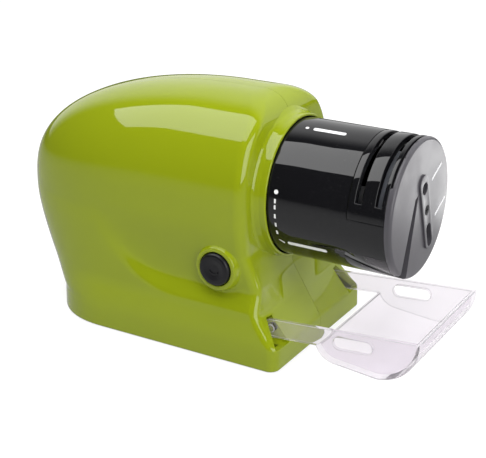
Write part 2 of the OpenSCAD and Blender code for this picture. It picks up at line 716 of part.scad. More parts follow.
// Knife guide: a half ring flush with the drum, with a lip that seats under the drum's edge
guide_gap_angle = 0.5;
guide_lip = 1.1;
guide_reach = 1.8;
slot_end_angle = guide_angle - 14;
module knife_guide() color(black) difference() {
  union() {
    top_ring(drum_end - guide_len + seat_gap, guide_len - seat_gap, drum_in_r, head_r,
      guide_angle - guide_gap_angle);
    top_ring(drum_end - guide_len - guide_reach, guide_len + guide_reach, drum_in_r - guide_lip - seat_gap,
      drum_in_r - seat_gap, guide_angle - guide_gap_angle);
    top_ring(drum_end - guide_len + seat_gap, guide_len - seat_gap, drum_in_r - guide_lip, head_r - 1,
      guide_angle - guide_gap_angle);
  }
  for (side = [-1, 1]) top_ring(wheel_x + side * slot_pitch / 2 - slot_w / 2, slot_w,
    drum_in_r - 2 * guide_lip, head_r + 1, slot_end_angle);
}

// End cap with a rounded rim, a groove over the knife guide's edge, a spigot inside and a screw boss
cap_round = 1.4;
groove_w = 1;
groove_depth = 1.6;
groove_angle = 58;
spigot_r = drum_in_r - guide_lip - 2 * seat_gap;
spigot_wall = 1.6;
spigot_len = 2;
plate_turn = 17.5;
plate_spot = [4.7, -2.1];
plate_up = 16.6;
plate_down = 19;
round_hole_up = 10.6;
long_hole_down = 12.4;
plate_screw_r = 1.3;
plate_boss_len = 0.6;
plate_boss_r = 2.8;
plate_head_r = 2;

// Along the bar: z runs from the screw up to the round hole
module on_plate(x, up) on_face(x, plate_spot[0], plate_spot[1]) rotate([0, 0, plate_turn])
  translate([-up, 0, 0]) children();
module driver_holes(x, length) {
  on_plate(x, round_hole_up) cylinder(d = round_hole_d, h = length);
  run = long_hole_len - long_hole_w;
  for (end = [-0.5, 0.5]) on_plate(x, -long_hole_down + end * run) cylinder(d = long_hole_w, h = length);
  on_plate(x, -long_hole_down) translate([-run / 2, -long_hole_w / 2, 0]) cube([run, long_hole_w, length]);
}

module head_end_cap() color(black) difference() {
  union() {
    on_axis(drum_end) rotate_extrude() polygon(concat([[0, 0], [head_r, 0]],
      arc(head_r - cap_round, cap_t - cap_round, cap_round, 0, 90, 6), [[0, cap_t]]));
    on_axis(drum_end - spigot_len) cylinder(r = spigot_r, h = spigot_len + cap_t / 2);
    on_plate(drum_end - plate_boss_len, 0) cylinder(r = plate_boss_r, h = plate_boss_len + cap_t / 2);
  }
  difference() {
    on_axis(drum_end - spigot_len - 1) cylinder(r = spigot_r - spigot_wall, h = spigot_len + 1);
    on_plate(drum_end - plate_boss_len, 0) cylinder(r = plate_boss_r, h = plate_boss_len + 1);
  }
  top_ring(drum_end - 1, groove_w + 1, head_r - groove_depth, head_r + 1, groove_angle);
  driver_holes(drum_end - spigot_len, head_reach);
  on_plate(drum_end - plate_boss_len - 1, 0) cylinder(r = plate_screw_r + seat_gap, h = head_reach);
  scissors_cut(0, scissors_mouth);
}

module driver_plate() color(black) difference() {
  union() {
    run = plate_up + plate_down - plate_w;
    on_plate(head_reach, plate_up - plate_w / 2) cylinder(d = plate_w, h = plate_t);
    on_plate(head_reach, plate_w / 2 - plate_down) cylinder(d = plate_w, h = plate_t);
    on_plate(head_reach, plate_w / 2 - plate_down) translate([-run, -plate_w / 2, 0])
      cube([run, plate_w, plate_t]);
  }
  driver_holes(head_reach - 1, plate_t + 2);
  on_plate(head_reach - 1, 0) cylinder(r = plate_screw_r + seat_gap, h = plate_t + 2);
  on_plate(head_reach + plate_t / 2, 0) cylinder(r = plate_head_r + seat_gap, h = plate_t);
}

module plate_screw() color("silver") on_plate(head_reach + plate_t / 2, 0)
  screw(plate_screw_r, plate_head_r, plate_t / 2, plate_t / 2 + cap_t + plate_boss_len);

// Clear tray: two slotted side walls with arms and pins, and one curved floor with a front lip
function tray_floor(inset) = concat(
  arc(tray_lip_x, tray_lip_z, tray_lip_r - inset, lip_turn, tray_floor_turn, 6),
  arc(tray_nose_x, tray_nose_z, tray_nose_z + tray_drop - inset, -90, nose_turn, 10));
function reversed(list) = [for (i = [len(list) - 1:-1:0]) list[i]];

module tray_side() difference() {
  polygon(concat(arc(0, 0, arm_h / 2, 90, 270, 12), tray_floor(0)));
  run = tray_slot_len - tray_slot_h;
  for (end = [-0.5, 0.5]) translate([tray_slot_x + end * run, tray_slot_z]) circle(d = tray_slot_h);
  translate([tray_slot_x - run / 2, tray_slot_z - tray_slot_h / 2]) square([run, tray_slot_h]);
}

module swarf_tray() color("lavender", 0.4)
  translate([collar_x + pivot_x, 0, pivot_z]) rotate([0, -tray_tilt, 0]) {
    for (y = [tray_half_w, tray_wall - tray_half_w]) translate([0, y, 0]) rotate([90, 0, 0])
      linear_extrude(tray_wall) tray_side();
    translate([0, tray_half_w, 0]) rotate([90, 0, 0]) linear_extrude(2 * tray_half_w)
      polygon(concat(tray_floor(0), reversed(tray_floor(tray_wall))));
    for (side = [-1, 1]) translate([0, side * tray_half_w, 0]) rotate([90 * side, 0, 0])
      cylinder(r = pin_r, h = tray_wall + pin_len);
  }

// Leads between the cells, the switch and the motor
lead_r = 0.8;
lead_sides = 8;
lead_y = terminal_x + terminal_t / 2 + lead_r;
lead_bend = 6;
lead_start_x = bay_front - 12;
holder_lid = holder_top + holder_wall;
terminal_back = motor_back - bell_t - terminal_len;
lead_back_x = terminal_back - lead_bend;
lead_rise = 0.5;
function motor_lead(y) = [[lead_start_x, y, holder_lid], [lead_start_x, y, holder_lid + lead_bend],
  [lead_back_x, y, mix(holder_lid, axis_z, lead_rise)], [lead_back_x, y, axis_z - lead_bend],
  [terminal_back - lead_r, y, axis_z - lead_r], [terminal_back + terminal_len / 2, y, axis_z]];
switch_side_x = button_x - switch_w / 2;
switch_lead_y = -(switch_back + switch_len / 2);
switch_lead = [[switch_side_x, switch_lead_y, button_h],
  [switch_side_x - lead_bend / 2, switch_lead_y, button_h],
  [switch_side_x - lead_bend, switch_lead_y, button_h - lead_bend],
  [switch_side_x - lead_bend, switch_lead_y, holder_lid]];
module wire_leads() color("firebrick") from_collar()
  for (path = [motor_lead(lead_y), motor_lead(-lead_y), switch_lead])
    tube(path, lead_r, lead_sides, [0, 1, 0]);

right_housing();
left_housing();
housing_screws();
rubber_feet();
battery_door();
battery_holder();
battery_cells();
contact_springs();
contact_plates();
push_button();
button_spring();
switch_body();
switch_bracket();
bracket_screws();
motor_cup();
motor_can();
motor_end_bell();
motor_terminals();
motor_screws();
motor_shaft();
wheel_arbor();
grinding_wheel();
wheel_washer();
wheel_nut();
head_drum();
knife_guide();
head_end_cap();
driver_plate();
plate_screw();
swarf_tray();
wire_leads();
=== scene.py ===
# %% [markdown]
# # A battery sharpener for scissors, knives and screwdriver tips
# The construction model comes in as a fixed frame: every solid already sits where it belongs.
# This lesson dresses that frame. The big glossy forms are modelled again with fine, soft meshes,
# because gloss shows every facet, and each piece gets its own finish.

# %% Load the frame
import json
import math
import bpy
import numpy as np
from mathutils import Matrix, Vector


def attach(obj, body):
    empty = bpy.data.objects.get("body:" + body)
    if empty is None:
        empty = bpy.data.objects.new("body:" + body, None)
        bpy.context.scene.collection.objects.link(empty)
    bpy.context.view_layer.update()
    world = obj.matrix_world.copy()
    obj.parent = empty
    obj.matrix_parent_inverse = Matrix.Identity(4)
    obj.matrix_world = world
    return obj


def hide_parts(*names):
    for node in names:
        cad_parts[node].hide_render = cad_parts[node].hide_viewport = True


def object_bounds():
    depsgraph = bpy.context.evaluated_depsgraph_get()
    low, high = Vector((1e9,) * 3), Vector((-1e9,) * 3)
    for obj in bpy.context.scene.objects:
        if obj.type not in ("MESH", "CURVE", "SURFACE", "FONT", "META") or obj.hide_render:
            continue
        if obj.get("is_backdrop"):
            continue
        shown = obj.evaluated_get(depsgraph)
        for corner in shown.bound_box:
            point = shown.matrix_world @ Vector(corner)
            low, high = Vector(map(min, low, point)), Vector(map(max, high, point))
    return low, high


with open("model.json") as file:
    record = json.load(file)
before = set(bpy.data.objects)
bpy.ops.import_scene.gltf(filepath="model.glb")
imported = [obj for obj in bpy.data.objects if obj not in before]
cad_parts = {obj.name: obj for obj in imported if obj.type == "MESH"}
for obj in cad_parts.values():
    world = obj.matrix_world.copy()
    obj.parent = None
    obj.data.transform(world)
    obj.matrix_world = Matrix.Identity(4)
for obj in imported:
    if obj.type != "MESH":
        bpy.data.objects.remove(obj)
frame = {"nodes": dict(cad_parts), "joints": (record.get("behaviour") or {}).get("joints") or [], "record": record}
cad_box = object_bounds()
nodes = frame["nodes"]
joints = {j["name"]: j for j in frame["joints"]}
COLLAR_X, _, AXIS_Z = (1000 * v for v in joints["head_select"]["pos_m"])
MM = 0.001


def at(x, y, z):
    """A place in millimetres, with x counted from the collar plane, as metres in the frame."""
    return Vector((COLLAR_X + x, y, z)) * MM


print(len(nodes), "solids, collar plane at x =", round(COLLAR_X, 2), "mm, head axis at z =", AXIS_Z)

# %% [markdown]
# The camera comes first, because every later choice is judged through it. Its place and its lens
# were found by matching the outline of the base, the drum and the tray.

# %% Camera
bpy.ops.object.select_all(action="DESELECT")
bpy.ops.object.camera_add(location=at(230.9, -437.2, 245.7),
                          rotation=(math.radians(68.25), 0, math.radians(30.65)))
camera = bpy.context.object
camera.data.sensor_width = 36
camera.data.lens = 92.67
bpy.context.scene.camera = camera
print("camera", [round(v, 3) for v in camera.location])

# %% [markdown]
# ## The studio
# Glossy plastic is mostly a picture of the room around it. One wide softbox hangs above and to the left,
# and its reflection is the pale leaf on the shoulder and the band along the drum. A tall one stands to
# the right, and draws the narrow strip down the front corner of the body.

# %% Softboxes
bpy.context.scene.view_settings.view_transform = "Standard"


def softbox(name, place, aim, width, depth, level, unseen_by=()):
    """A rectangular lamp whose own surface is `level` times as bright as white paper."""
    place, aim = Vector(place), Vector(aim)
    bpy.ops.object.light_add(type="AREA", location=place)
    lamp = bpy.context.object
    lamp.name = name
    lamp.data.shape = "RECTANGLE"
    lamp.data.size, lamp.data.size_y = width, depth
    lamp.data.energy = level * math.pi * width * depth
    lamp.rotation_euler = (aim - place).to_track_quat("-Z", "Y").to_euler()
    for rays in unseen_by:
        setattr(lamp, "visible_" + rays, False)
    print(name, "at", [round(v, 2) for v in place], "level", level)
    return lamp


softbox("overhead_softbox", (-0.48, -0.36, 1.0), (-0.48, -0.36, 0), 1.45, 0.84, 3.5)
softbox("upright_softbox", (0.95, -0.55, 0.44), (0, 0, 0.10), 0.80, 0.90, 3.5)

# %% [markdown]
# Weaker lamps fill the shadows, and are kept out of the reflections. A bright card lies on the floor
# behind the head. It is linked to the satin end face alone, where its reflection is a soft pale wash.

# %% Fill lamps and card
AIM = (0, 0, 0.06)
for name, place, width, depth, level in (("front_fill", (0.50, -0.50, 1.10), 0.5, 0.5, 7.2),
                                         ("right_fill", (0.95, 0.30, 0.35), 0.7, 0.5, 1.6),
                                         ("back_fill", (0.0, 0.55, 0.95), 0.9, 0.7, 2.6)):
    softbox(name, place, AIM, width, depth, level, ("glossy", "camera", "transmission"))
card = softbox("floor_card", (0.22, 0.27, 0.003), (0.22, 0.27, 1), 0.30, 0.24, 3.4,
               ("diffuse", "camera", "transmission"))
card.light_linking.receiver_collection = satin_faces = bpy.data.collections.new("satin_faces")

# %% [markdown]
# Walls, floor and finishes are all small node trees. A few helpers write them: one adds a node and wires
# or sets its inputs, one stretches a value to a new range, and one mixes two values or two colours.

# %% Node helpers
def feed(tree, socket, value):
    """Link another node's output to a socket, or set the socket to a fixed value."""
    if isinstance(value, bpy.types.NodeSocket):
        tree.links.new(value, socket)
    else:
        socket.default_value = value


def add(tree, kind, inputs=None, **options):
    node = tree.nodes.new("ShaderNode" + kind)
    for name, value in options.items():
        setattr(node, name, value)
    for key, value in (inputs or {}).items():
        feed(tree, node.inputs[key], value)
    return node


def math_of(tree, operation, a, b, clamp=False):
    return add(tree, "Math", {0: a, 1: b}, operation=operation, use_clamp=clamp).outputs[0]


def remap(tree, value, low, high, to_low=0.0, to_high=1.0):
    """Stretch a value from one range to another, with eased ends."""
    ranges = {"Value": value, "From Min": low, "From Max": high, "To Min": to_low, "To Max": to_high}
    return add(tree, "MapRange", ranges, interpolation_type="SMOOTHSTEP").outputs["Result"]


def blend(tree, kind, factor, a, b):
    """Mix two values (FLOAT) or two colours (RGBA)."""
    node = add(tree, "Mix", data_type=kind)
    for socket, value in zip([s for s in node.inputs if s.enabled], (factor, a, b)):
        feed(tree, socket, value)
    return next(s for s in node.outputs if s.enabled)


print("node helpers are ready")

# %% [markdown]
# Behind the object the studio is white, and in front of it the room is dim. The camera, and whatever looks
# through the clear tray, see plain white all round.

# %% Studio walls
DIM, BRIGHT = 0.05, 1.2
world = bpy.data.worlds.new("studio")
bpy.context.scene.world = world
world.use_nodes = True
tree = world.node_tree
tree.nodes.clear()
rays = add(tree, "LightPath").outputs
seen = math_of(tree, "MAXIMUM", rays["Is Camera Ray"], rays["Is Transmission Ray"])
toward = add(tree, "SeparateXYZ", {0: add(tree, "TexCoord").outputs["Generated"]}).outputs
behind = remap(tree, toward["Y"], 0.15, 0.5, DIM, BRIGHT)
sky = add(tree, "Background", {"Strength": blend(tree, "FLOAT", seen, behind, 1.0)})
add(tree, "OutputWorld", {"Surface": sky.outputs[0]})
print("studio walls:", len(tree.nodes), "nodes")

# %% [markdown]
# The floor is a white sheet that runs past the picture on all sides. To the camera it is mostly
# white by itself, with a share of plain paper in it, so that a faint shadow is left under the object.
# In reflections it only glows, and the glow fades with the distance.

# %% Floor
OWN_WHITE, PAPER_SHARE, PAPER = 0.78, 0.26, (0.62, 0.62, 0.62, 1)
bpy.ops.object.select_all(action="DESELECT")
bpy.ops.mesh.primitive_grid_add(x_subdivisions=4, y_subdivisions=4, size=8)
floor = bpy.context.object
floor.name = "floor"
paper = bpy.data.materials.new("paper")
paper.use_nodes = True
tree = paper.node_tree
tree.nodes.clear()
rays = add(tree, "LightPath").outputs
seen = math_of(tree, "MAXIMUM", rays["Is Camera Ray"], rays["Is Glossy Ray"])
through = math_of(tree, "MAXIMUM", seen, rays["Is Transmission Ray"])
bounced = math_of(tree, "SUBTRACT", rays["Is Glossy Ray"], rays["Is Transmission Ray"], clamp=True)
far = add(tree, "VectorMath", {0: add(tree, "TexCoord").outputs["Object"]}, operation="LENGTH").outputs["Value"]
level = blend(tree, "FLOAT", bounced, OWN_WHITE, remap(tree, far, 0.10, 0.9, 0.62, 0.05))
glow = add(tree, "Emission", {"Strength": level})
shade = add(tree, "BsdfDiffuse", {"Color": blend(tree, "FLOAT", bounced, PAPER_SHARE, 0.0)})
both = add(tree, "AddShader", {0: shade.outputs[0], 1: glow.outputs[0]})
plain = add(tree, "BsdfDiffuse", {"Color": PAPER})
mixed = add(tree, "MixShader", {0: through, 1: plain.outputs[0], 2: both.outputs[0]})
add(tree, "OutputMaterial", {"Surface": mixed.outputs[0]})
floor.data.materials.append(paper)
floor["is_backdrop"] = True
print("floor", floor.dimensions[:])

# %% [markdown]
# ## Finishes
# Real mouldings are never one flat colour. Three effects return on most pieces, so each is a node
# group: slow tone changes with a fine skin, settled dust, and hair-fine handling scratches.

# %% Node groups
def group(name, inputs, outputs):
    tree = bpy.data.node_groups.new(name, "ShaderNodeTree")
    for label, kind, value in inputs:
        socket = tree.interface.new_socket(label, in_out="INPUT", socket_type=kind)
        if value is not None:
            socket.default_value = value
    for label in outputs:
        tree.interface.new_socket(label, in_out="OUTPUT", socket_type="NodeSocketFloat")
    return tree, tree.nodes.new("NodeGroupInput").outputs, tree.nodes.new("NodeGroupOutput").inputs


def noise(tree, vector, scale, detail, rough=0.55):
    settings = {"Vector": vector, "Scale": scale, "Detail": detail, "Roughness": rough}
    return add(tree, "TexNoise", settings).outputs["Fac"]


PLACE = ("Vector", "NodeSocketVector", None)
skin, ins, outs = group("moulded_skin", [PLACE, ("Grain size", "NodeSocketFloat", 900.0)], ["Tone", "Grain", "Haze"])
feed(skin, outs["Tone"], noise(skin, ins["Vector"], 14.0, 2.0))
feed(skin, outs["Grain"], noise(skin, ins["Vector"], ins["Grain size"], 2.0))
feed(skin, outs["Haze"], remap(skin, noise(skin, ins["Vector"], 45.0, 4.0), 0.3, 0.7))

dust, ins, outs = group("settled_dust", [PLACE, ("Speck size", "NodeSocketFloat", 2600.0)], ["Specks"])
specks = remap(dust, noise(dust, ins["Vector"], ins["Speck size"], 1.0), 0.70, 0.78)
patches = remap(dust, noise(dust, ins["Vector"], 60.0, 2.0), 0.35, 0.75)
feed(dust, outs["Specks"], math_of(dust, "MULTIPLY", specks, patches))

hair, ins, outs = group("handling_scratches", [PLACE, ("Turn", "NodeSocketVector", (0, 0, 0))], ["Scratches"])
stretch = add(hair, "Mapping", {"Vector": ins["Vector"], "Rotation": ins["Turn"], "Scale": (60, 900, 2600)})
feed(hair, outs["Scratches"], remap(hair, noise(hair, stretch.outputs[0], 1.0, 2.0), 0.66, 0.74))
print("groups:", [g.name for g in bpy.data.node_groups])

# %% [markdown]
# One function writes a finish from these groups: the colour wanders a little between two tones,
# dust lifts it, haze and scratches change how sharp the gloss is, and the grain is a real bump.

# %% Finish maker
finishes = {}
DUST_COLOUR, DUST_ROUGH = (0.6, 0.58, 0.54, 1), 0.8


def use(tree, which, **values):
    """Place one of the groups in a material, on the piece's own coordinates."""
    n = add(tree, "Group", node_tree=which)
    spot = tree.nodes.get("Texture Coordinate") or add(tree, "TexCoord")
    tree.links.new(spot.outputs["Object"], n.inputs["Vector"])
    for label, value in values.items():
        n.inputs[label.replace("_", " ")].default_value = value
    return n.outputs


def new_finish(name):
    """A material with its shader, kept in the list of finishes."""
    made_of = finishes[name] = bpy.data.materials.new(name + "_finish")
    made_of.use_nodes = True
    return made_of.node_tree, made_of.node_tree.nodes["Principled BSDF"]


def bump(tree, height, millimetres, shader):
    dents = add(tree, "Bump", {"Height": height, "Distance": millimetres * MM})
    tree.links.new(dents.outputs[0], shader.inputs["Normal"])


def finish(name, colour, other, gloss, hazy, grain_mm, grain_size, dusty=0.0, scratched=0.0, metal=0.0, shine=0.5):
    tree, shader = new_finish(name)
    shader.inputs["Metallic"].default_value = metal
    shader.inputs["Specular IOR Level"].default_value = shine
    face = use(tree, skin, Grain_size=grain_size)
    tone = blend(tree, "RGBA", face["Tone"], (*colour, 1), (*other, 1))
    rough = blend(tree, "FLOAT", face["Haze"], gloss, hazy)
    if dusty:
        specks = blend(tree, "FLOAT", use(tree, dust)["Specks"], 0.0, dusty)
        tone = blend(tree, "RGBA", specks, tone, DUST_COLOUR)
        rough = blend(tree, "FLOAT", specks, rough, DUST_ROUGH)
    if scratched:
        lines = use(tree, hair, Turn=(0.4, 0.2, 0.1))["Scratches"]
        rough = blend(tree, "FLOAT", lines, rough, gloss + scratched)
    feed(tree, shader.inputs["Base Color"], tone)
    feed(tree, shader.inputs["Roughness"], rough)
    bump(tree, face["Grain"], grain_mm, shader)


print("finish maker is ready")

# %% [markdown]
# Each row of this table is one finish: two tones, how rough it is where it is clean and where it is hazy,
# the grain's depth in millimetres and its scale, then dust, scratches, metal and shine where they differ.

# %% Table of finishes
for row in [
    ("housing_green", (0.232, 0.285, 0.006), (0.218, 0.270, 0.005), 0.035, 0.055, 0.0012, 420, 0.08, 0.05),
    ("head_black", (0.0045, 0.0045, 0.0055), (0.006, 0.006, 0.007), 0.02, 0.035, 0.0008, 700, 0.12, 0.08),
    ("button_plastic", (0.004, 0.0038, 0.0055), (0.006, 0.0056, 0.0075), 0.34, 0.44, 0.012, 1500, 0.1, 0, 0, 0.36),
    ("cap_satin", (0.060, 0.057, 0.065), (0.074, 0.071, 0.080), 0.30, 0.42, 0.006, 900, 0.1, 0.1),
    ("rubber_grey", (0.07, 0.07, 0.07), (0.09, 0.09, 0.088), 0.75, 0.9, 0.03, 1200, 0.3),
    ("dark_plastic", (0.018, 0.018, 0.020), (0.024, 0.024, 0.026), 0.4, 0.55, 0.01, 1200, 0.2),
    ("grey_plastic", (0.28, 0.28, 0.29), (0.33, 0.33, 0.34), 0.4, 0.5, 0.01, 1200, 0.1),
    ("steel", (0.58, 0.58, 0.59), (0.52, 0.52, 0.53), 0.22, 0.36, 0.003, 2400, 0, 0.2, 1.0),
    ("head_screw", (0.045, 0.045, 0.05), (0.06, 0.06, 0.065), 0.3, 0.4, 0.003, 2400, 0, 0.2, 1.0),
    ("brass", (0.72, 0.50, 0.20), (0.62, 0.42, 0.16), 0.2, 0.35, 0.002, 2400, 0, 0.2, 1.0),
    ("abrasive", (0.20, 0.22, 0.26), (0.30, 0.31, 0.34), 0.8, 0.95, 0.20, 1800, 0.3),
    ("cell_wrap", (0.50, 0.27, 0.03), (0.56, 0.31, 0.04), 0.2, 0.3, 0.002, 1800, 0, 0.1),
    ("wire_red", (0.33, 0.02, 0.02), (0.38, 0.03, 0.03), 0.45, 0.55, 0.01, 1800, 0.1),
    ("white_print", (0.80, 0.80, 0.81), (0.74, 0.74, 0.75), 0.35, 0.5, 0.004, 3000, 0, 0.1),
    # The pale grey of the tray's softened edges is a painted highlight.
    ("tray_edge_highlight", (0.34, 0.33, 0.35), (0.50, 0.49, 0.51), 0.2, 0.35, 0.003, 1800, 0, 0.1),
]:
    finish(*row)
print("finishes:", list(finishes))

# %% [markdown]
# The tray is clear plastic with a faint lilac cast. Light passes through it as through glass, and rays
# from the lamps go straight on, so that it doesn't throw the shadow of a solid.

# %% Clear plastic
tree, shader = new_finish("tray_clear")
# The share of light not let through is scattered in the pale base colour. This veil is partly the plastic's own haze
# and partly a painted reflection of the bright room.
shader.inputs["Transmission Weight"].default_value = 0.92
shader.inputs["IOR"].default_value = 1.06
face = use(tree, skin, Grain_size=300.0)
feed(tree, shader.inputs["Base Color"],
     blend(tree, "RGBA", face["Tone"], (0.83, 0.80, 0.835, 1), (0.81, 0.78, 0.816, 1)))
feed(tree, shader.inputs["Roughness"], blend(tree, "FLOAT", use(tree, hair)["Scratches"], 0.02, 0.12))
bump(tree, face["Grain"], 0.004, shader)
open_air = add(tree, "BsdfTransparent", {"Color": (0.97, 0.96, 0.975, 1)})
lamp_ray = add(tree, "LightPath").outputs["Is Shadow Ray"]
pass_on = add(tree, "MixShader", {0: lamp_ray, 1: shader.outputs[0], 2: open_air.outputs[0]})
tree.links.new(pass_on.outputs[0], tree.nodes["Material Output"].inputs["Surface"])
print("clear plastic:", len(tree.nodes), "nodes")

# %% [markdown]
# ## Working by hand, in code
# A modeller keeps doing the same few things: take one object, pick faces, apply a modifier, and at the
# end fix the piece to the body that carries it. These helpers are those habits.

# %% Bench helpers
def take(*objects):
    """Object mode, with only these selected and the first one active."""
    if bpy.context.object and bpy.context.object.mode != "OBJECT":
        bpy.ops.object.mode_set(mode="OBJECT")
    bpy.ops.object.select_all(action="DESELECT")
    for o in objects:
        o.select_set(True)
    if objects:
        bpy.context.view_layer.objects.active = objects[0]


def pick(obj, kind, rule):
    """Edit mode, with the vertices, edges or faces selected that fit the rule."""
    take(obj)
    bpy.ops.object.mode_set(mode="EDIT")
    bpy.ops.mesh.select_mode(type=kind)
    bpy.ops.mesh.select_all(action="DESELECT")
    bpy.ops.object.mode_set(mode="OBJECT")
    for item in {"VERT": obj.data.vertices, "EDGE": obj.data.edges, "FACE": obj.data.polygons}[kind]:
        item.select = rule(item)
    bpy.ops.object.mode_set(mode="EDIT")


def modify(obj, kind, **settings):
    take(obj)
    modifier = obj.modifiers.new(kind.lower(), kind)
    for name, value in settings.items():
        setattr(modifier, name, value)
    bpy.ops.object.modifier_apply(modifier=modifier.name)


def soften(obj, millimetres, segments=3, angle=40, material=-1):
    modify(obj, "BEVEL", width=millimetres * MM, segments=segments, limit_method="ANGLE", material=material,
           angle_limit=math.radians(angle), harden_normals=False, use_clamp_overlap=True)


def cut(obj, *tools, keep="DIFFERENCE", touching=False):
    """Take the tools away from a piece one after another, or join them to it, also where faces coincide."""
    for tool in tools:
        modify(obj, "BOOLEAN", object=tool, operation=keep, solver="EXACT", use_self=touching)
        bpy.data.objects.remove(tool)


def joined(pieces):
    take(*pieces)
    bpy.ops.object.join()
    return pieces[0]


def fit(obj, name, body, slot, *stands_for, material=None, angle=38):
    """Last step for a piece: place in the mesh, soft shading, finish, and the body that it rides on."""
    take(obj)
    bpy.ops.object.transform_apply(location=True, rotation=True, scale=True)
    bpy.ops.object.shade_smooth_by_angle(angle=math.radians(angle))
    obj.name = obj.data.name = name
    if not obj.data.materials:
        obj.data.materials.append(finishes[material or slot])
    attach(obj, body)
    if stands_for:
        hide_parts(*stands_for)
    print(name, "faces:", len(obj.data.polygons), "rides on", body)
    return obj


print("bench helpers are ready")

# %% [markdown]
# Many pieces start from an outline. It begins as a circle with as many points as the outline needs, and
# its points are moved to their places. Corners are rounded in the outline itself, so every edge that is
# made from it catches a thin highlight.

# %% Outlines
def rounded(corners, steps=5):
    """Points of a closed outline. Each corner is (across, along, radius)."""
    points = []
    for i, (x, y, r) in enumerate(corners):
        p = np.array((x, y), float)
        a = np.array(corners[i - 1][:2], float) - p
        b = np.array(corners[(i + 1) % len(corners)][:2], float) - p
        if r <= 0:
            points.append(p)
            continue
        a, b = a / np.linalg.norm(a), b / np.linalg.norm(b)
        half = math.acos(np.clip(a @ b, -1, 1)) / 2
        mid = p + (a + b) / np.linalg.norm(a + b) * r / math.sin(half)
        first, last = p + a * r / math.tan(half) - mid, p + b * r / math.tan(half) - mid
        sweep = math.atan2(first[0] * last[1] - first[1] * last[0], first @ last)
        for k in range(steps + 1):
            t = sweep * k / steps
            points.append(mid + (first[0] * math.cos(t) - first[1] * math.sin(t),
                                 first[0] * math.sin(t) + first[1] * math.cos(t)))
    return points


def loop(places):
    """A closed wire through these places, in metres."""
    take()
    bpy.ops.mesh.primitive_circle_add(vertices=len(places), radius=0.01, fill_type="NOTHING")
    wire = bpy.context.object
    for vertex, place in zip(wire.data.vertices, places):
        vertex.co = place
    return wire


print("outlines are ready")

# %% [markdown]
# An outline becomes a solid in one of three ways: Spin turns it round an axis, an extrusion pulls it along
# a direction, and Solidify gives it the thickness of a print. Boxes and rods are the cutting tools.

# %% Solids from outlines
def turned(outline, centre, axis, steps=180):
    """Spin a closed outline of (radius, along) in millimetres round an axis through a place."""
    along = Vector(axis)
    out = Vector((0, 0, 1)) if abs(along.z) < 0.9 else Vector((1, 0, 0))
    piece = loop([centre + (out * r + along * h) * MM for r, h in outline])
    take(piece)
    bpy.ops.object.mode_set(mode="EDIT")
    bpy.ops.mesh.select_all(action="SELECT")
    bpy.ops.mesh.spin(steps=steps, angle=math.radians(360), center=centre, axis=along)
    bpy.ops.mesh.select_all(action="SELECT")
    bpy.ops.mesh.remove_doubles(threshold=1e-6)
    bpy.ops.mesh.normals_make_consistent(inside=False)
    bpy.ops.mesh.delete_loose()
    bpy.ops.object.mode_set(mode="OBJECT")
    return piece


def prism(corners, pull):
    """Fill an outline and pull it along a direction, both in metres."""
    piece = loop(corners)
    pick(piece, "VERT", lambda v: True)
    bpy.ops.mesh.edge_face_add()
    bpy.ops.mesh.extrude_region_move(TRANSFORM_OT_translate={"value": pull})
    bpy.ops.mesh.select_all(action="SELECT")
    bpy.ops.mesh.normals_make_consistent(inside=False)
    take(piece)
    return piece


def plate(places, thickness):
    """Fill an outline and thicken it by some metres, half to each side."""
    piece = loop(places)
    pick(piece, "VERT", lambda v: True)
    bpy.ops.mesh.edge_face_add()
    bpy.ops.mesh.normals_make_consistent(inside=False)
    take(piece)
    modify(piece, "SOLIDIFY", thickness=thickness, offset=0)
    return piece


def block(low, high):
    """A box between two places, used as a cutting tool."""
    take()
    bpy.ops.mesh.primitive_cube_add(size=1, location=(low + high) / 2)
    tool = bpy.context.object
    tool.scale = high - low
    bpy.ops.object.transform_apply(location=True, rotation=True, scale=True)
    return tool


def rod(centre, axis, radius, low, high, steps=96):
    """A round bar along an axis, used as a cutting tool."""
    return turned([(0, low), (radius, low), (radius, high), (0, high)], centre, axis, steps)


print("solids are ready")

# %% [markdown]
# ## The housing
# The body is a tall rounded shell on an upright plinth. It leans back to a bulging rear, its sides are
# scooped above a soft ridge, and its nose runs down in front to the tray. No primitive comes near that,
# so its form is written as a few curves over the height: half width, front, rear and corner radius.

# %% Form of the body
PLINTH_Z, RIDGE_Z, RAMP_Z, FRONT_Z, BULGE_Z, CREST_Z = 10.5, 22.0, 32.6, 47.0, 54.0, 108.2
FOOT_Z, ROUND_Z, FRONT_X, REAR_X, TOE_X, CREST_X = 0.4, 97.0, -5.6, -134.0, 10.8, -25.9


def ease(t):
    t = np.clip(t, 0, 1)
    return t * t * (3 - 2 * t)


def table(z, *pairs, soft=1.0):
    """Straight runs between pairs of (height, value), with softened bends."""
    high, value = np.array(pairs, float).T
    return sum(np.interp(z + soft * k, high, value) for k in np.linspace(-1, 1, 9)) / 9


def dome(z, low, high, power=2.0):
    """1 at the low height and 0 at the high one, along a rounded quarter curve."""
    return np.clip(1 - np.clip((z - low) / (high - low), 0, 1) ** power, 0, 1) ** (1 / power)


def front_mid(z):
    ramp = table(z, (PLINTH_Z, TOE_X), (RAMP_Z, -3), (FRONT_Z, FRONT_X), soft=0.8)
    return np.where(z < ROUND_Z, ramp, FRONT_X - 12.4 * (1 - dome(z, ROUND_Z, CREST_Z)))


def front_cheek(z):
    ramp = table(z, (PLINTH_Z, TOE_X), (PLINTH_Z + 2.5, 8.0), (RIDGE_Z, 0.4), (RAMP_Z, -0.6), (FRONT_Z, FRONT_X),
                 soft=0.8)
    return np.where(z < ROUND_Z, ramp, front_mid(z))


def half_width(z):
    def sharp(q):
        low = np.interp(q, (FOOT_Z, PLINTH_Z, RIDGE_Z, AXIS_Z), (40.5, 40.0, 37.4, 38.5))
        return np.where(q > AXIS_Z, 2.5 + 36.0 * dome(q, AXIS_Z, CREST_Z, 2.2), low)
    reach = 2.5 * np.clip((AXIS_Z + 6 - z) / 6, 0, 1)
    return sum(sharp(z + reach * k) for k in np.linspace(-1, 1, 9)) / 9


